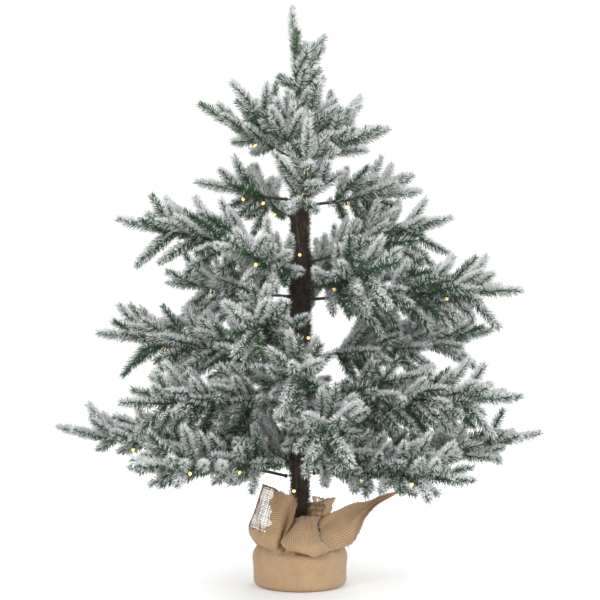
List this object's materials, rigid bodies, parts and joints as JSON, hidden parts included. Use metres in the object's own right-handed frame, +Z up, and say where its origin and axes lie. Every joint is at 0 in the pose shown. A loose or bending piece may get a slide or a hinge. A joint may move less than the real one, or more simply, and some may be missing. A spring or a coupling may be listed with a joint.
{
  "type": "artificial tabletop tree",
  "caption": "Frosted artificial fir for a tabletop: wired branches that bend up on a central pole, small lamps, and a round burlap-wrapped weighted base.",
  "frame": {"origin": "centre of the underside of the burlap-wrapped base", "axes": "+Z up along the pole, +Y towards the back, +X to the right as seen from the front"},
  "size_m": [0.7646, 0.6293, 0.9019],
  "materials": {
    "burlap": "matte",
    "twine": "matte",
    "cement": "matte",
    "pole_paint": "satin",
    "branch_wire": "matte",
    "bark": "matte",
    "lights": "gloss",
    "needles": "matte"
  },
  "bodies": {
    "trunk": {"burlap_wrap": "burlap", "burlap_ruffle": "burlap", "neck_tie": "twine", "base_weight": "cement", "trunk_pole": "pole_paint", "root_wires": "branch_wire", "bark_wrap": "bark", "light_string": "lights", "crown_stems": "branch_wire", "crown_foliage": "needles"},
    "branch_01": {"branch_01_stem": "branch_wire", "branch_01_foliage": "needles"},
    "branch_02": {"branch_02_stem": "branch_wire", "branch_02_foliage": "needles"},
    "branch_03": {"branch_03_stem": "branch_wire", "branch_03_foliage": "needles"},
    "branch_04": {"branch_04_stem": "branch_wire", "branch_04_foliage": "needles"},
    "branch_05": {"branch_05_stem": "branch_wire", "branch_05_foliage": "needles"},
    "branch_06": {"branch_06_stem": "branch_wire", "branch_06_foliage": "needles"},
    "branch_07": {"branch_07_stem": "branch_wire", "branch_07_foliage": "needles"},
    "branch_08": {"branch_08_stem": "branch_wire", "branch_08_foliage": "needles"},
    "branch_09": {"branch_09_stem": "branch_wire", "branch_09_foliage": "needles"},
    "branch_10": {"branch_10_stem": "branch_wire", "branch_10_foliage": "needles"},
    "branch_11": {"branch_11_stem": "branch_wire", "branch_11_foliage": "needles"},
    "branch_12": {"branch_12_stem": "branch_wire", "branch_12_foliage": "needles"},
    "branch_13": {"branch_13_stem": "branch_wire", "branch_13_foliage": "needles"},
    "branch_14": {"branch_14_stem": "branch_wire", "branch_14_foliage": "needles"},
    "branch_15": {"branch_15_stem": "branch_wire", "branch_15_foliage": "needles"},
    "branch_16": {"branch_16_stem": "branch_wire", "branch_16_foliage": "needles"},
    "branch_17": {"branch_17_stem": "branch_wire", "branch_17_foliage": "needles"},
    "branch_18": {"branch_18_stem": "branch_wire", "branch_18_foliage": "needles"},
    "branch_19": {"branch_19_stem": "branch_wire", "branch_19_foliage": "needles"},
    "branch_20": {"branch_20_stem": "branch_wire", "branch_20_foliage": "needles"},
    "branch_21": {"branch_21_stem": "branch_wire", "branch_21_foliage": "needles"},
    "branch_22": {"branch_22_stem": "branch_wire", "branch_22_foliage": "needles"},
    "branch_23": {"branch_23_stem": "branch_wire", "branch_23_foliage": "needles"},
    "branch_24": {"branch_24_stem": "branch_wire", "branch_24_foliage": "needles"},
    "branch_25": {"branch_25_stem": "branch_wire", "branch_25_foliage": "needles"}
  },
  "joints": [
    {"name": "branch_01_bend", "type": "hinge", "parent": "trunk", "child": "branch_01", "pos_m": [0.02199, 0.00077, 0.172], "axis": [0.0349, -0.9994, 0], "range_deg": [-10, 61], "deforming": ["branch_01_foliage"]},
    {"name": "branch_02_bend", "type": "hinge", "parent": "trunk", "child": "branch_02", "pos_m": [0.01198, 0.01845, 0.196], "axis": [0.8387, -0.5446, 0], "range_deg": [-10, 58], "deforming": ["branch_02_foliage"]},
    {"name": "branch_03_bend", "type": "hinge", "parent": "trunk", "child": "branch_03", "pos_m": [-0.01067, 0.01924, 0.184], "axis": [0.8746, 0.4848, 0], "range_deg": [-10, 60], "deforming": ["branch_03_foliage"]},
    {"name": "branch_04_bend", "type": "hinge", "parent": "trunk", "child": "branch_04", "pos_m": [-0.022, -0.00038, 0.168], "axis": [-0.0175, 0.9998, 0], "range_deg": [-10, 57], "deforming": ["branch_04_foliage"]},
    {"name": "branch_05_bend", "type": "hinge", "parent": "trunk", "child": "branch_05", "pos_m": [-0.015, -0.01609, 0.19], "axis": [-0.7314, 0.682, 0], "range_deg": [-10, 62], "deforming": ["branch_05_foliage"]},
    {"name": "branch_06_bend", "type": "hinge", "parent": "trunk", "child": "branch_06", "pos_m": [0.00382, -0.02167, 0.234], "axis": [-0.9848, -0.1736, 0], "range_deg": [-10, 61], "deforming": ["branch_06_foliage"]},
    {"name": "branch_07_bend", "type": "hinge", "parent": "trunk", "child": "branch_07", "pos_m": [0.01556, -0.01556, 0.18], "axis": [-0.7071, -0.7071, 0], "range_deg": [-10, 62], "deforming": ["branch_07_foliage"]},
    {"name": "branch_08_bend", "type": "hinge", "parent": "trunk", "child": "branch_08", "pos_m": [0.0208, -0.00716, 0.288], "axis": [-0.3256, -0.9455, 0], "range_deg": [-10, 62], "deforming": ["branch_08_foliage"]},
    {"name": "branch_09_bend", "type": "hinge", "parent": "trunk", "child": "branch_09", "pos_m": [-0.0042, 0.0216, 0.298], "axis": [0.9816, 0.1908, 0], "range_deg": [-10, 60], "deforming": ["branch_09_foliage"]},
    {"name": "branch_10_bend", "type": "hinge", "parent": "trunk", "child": "branch_10", "pos_m": [-0.01845, -0.01198, 0.284], "axis": [-0.5446, 0.8387, 0], "range_deg": [-10, 62], "deforming": ["branch_10_foliage"]},
    {"name": "branch_11_bend", "type": "hinge", "parent": "trunk", "child": "branch_11", "pos_m": [-0.00077, -0.02199, 0.318], "axis": [-0.9994, 0.0349, 0], "range_deg": [-10, 62], "deforming": ["branch_11_foliage"]},
    {"name": "branch_12_bend", "type": "hinge", "parent": "trunk", "child": "branch_12", "pos_m": [0.0201, 0.00895, 0.354], "axis": [0.4067, -0.9135, 0], "range_deg": [-10, 62], "deforming": ["branch_12_foliage"]},
    {"name": "branch_13_bend", "type": "hinge", "parent": "trunk", "child": "branch_13", "pos_m": [-0.02144, 0.00495, 0.346], "axis": [0.225, 0.9744, 0], "range_deg": [-10, 61], "deforming": ["branch_13_foliage"]},
    {"name": "branch_14_bend", "type": "hinge", "parent": "trunk", "child": "branch_14", "pos_m": [-0.00824, -0.0204, 0.388], "axis": [-0.9272, 0.3746, 0], "range_deg": [-10, 62], "deforming": ["branch_14_foliage"]},
    {"name": "branch_15_bend", "type": "hinge", "parent": "trunk", "child": "branch_15", "pos_m": [0.02192, -0.00192, 0.444], "axis": [-0.0872, -0.9962, 0], "range_deg": [-10, 62], "deforming": ["branch_15_foliage"]},
    {"name": "branch_16_bend", "type": "hinge", "parent": "trunk", "child": "branch_16", "pos_m": [0.02104, 0.00643, 0.503], "axis": [0.2924, -0.9563, 0], "range_deg": [-10, 53], "deforming": ["branch_16_foliage"]},
    {"name": "branch_17_bend", "type": "hinge", "parent": "trunk", "child": "branch_17", "pos_m": [0.00716, 0.0208, 0.462], "axis": [0.9455, -0.3256, 0], "range_deg": [-10, 55], "deforming": ["branch_17_foliage"]},
    {"name": "branch_18_bend", "type": "hinge", "parent": "trunk", "child": "branch_18", "pos_m": [-0.0171, 0.01384, 0.448], "axis": [0.6293, 0.7771, 0], "range_deg": [-10, 62], "deforming": ["branch_18_foliage"]},
    {"name": "branch_19_bend", "type": "hinge", "parent": "trunk", "child": "branch_19", "pos_m": [-0.02173, -0.00344, 0.506], "axis": [-0.1564, 0.9877, 0], "range_deg": [-10, 55], "deforming": ["branch_19_foliage"]},
    {"name": "branch_20_bend", "type": "hinge", "parent": "trunk", "child": "branch_20", "pos_m": [-0.011, -0.01905, 0.484], "axis": [-0.866, 0.5, 0], "range_deg": [-10, 58], "deforming": ["branch_20_foliage"]},
    {"name": "branch_21_bend", "type": "hinge", "parent": "trunk", "child": "branch_21", "pos_m": [0.0123, -0.01824, 0.462], "axis": [-0.829, -0.5592, 0], "range_deg": [-10, 62], "deforming": ["branch_21_foliage"]},
    {"name": "branch_22_bend", "type": "hinge", "parent": "trunk", "child": "branch_22", "pos_m": [0.01824, 0.0123, 0.592], "axis": [0.5592, -0.829, 0], "range_deg": [-10, 36], "deforming": ["branch_22_foliage"]},
    {"name": "branch_23_bend", "type": "hinge", "parent": "trunk", "child": "branch_23", "pos_m": [-0.01166, 0.01866, 0.572], "axis": [0.848, 0.5299, 0], "range_deg": [-10, 48], "deforming": ["branch_23_foliage"]},
    {"name": "branch_24_bend", "type": "hinge", "parent": "trunk", "child": "branch_24", "pos_m": [-0.02192, 0.00192, 0.6], "axis": [0.0872, 0.9962, 0], "range_deg": [-10, 58], "deforming": ["branch_24_foliage"]},
    {"name": "branch_25_bend", "type": "hinge", "parent": "trunk", "child": "branch_25", "pos_m": [0.0023, -0.02188, 0.584], "axis": [-0.9945, -0.1045, 0], "range_deg": [-20, 25], "deforming": ["branch_25_foliage"]}
  ]
}
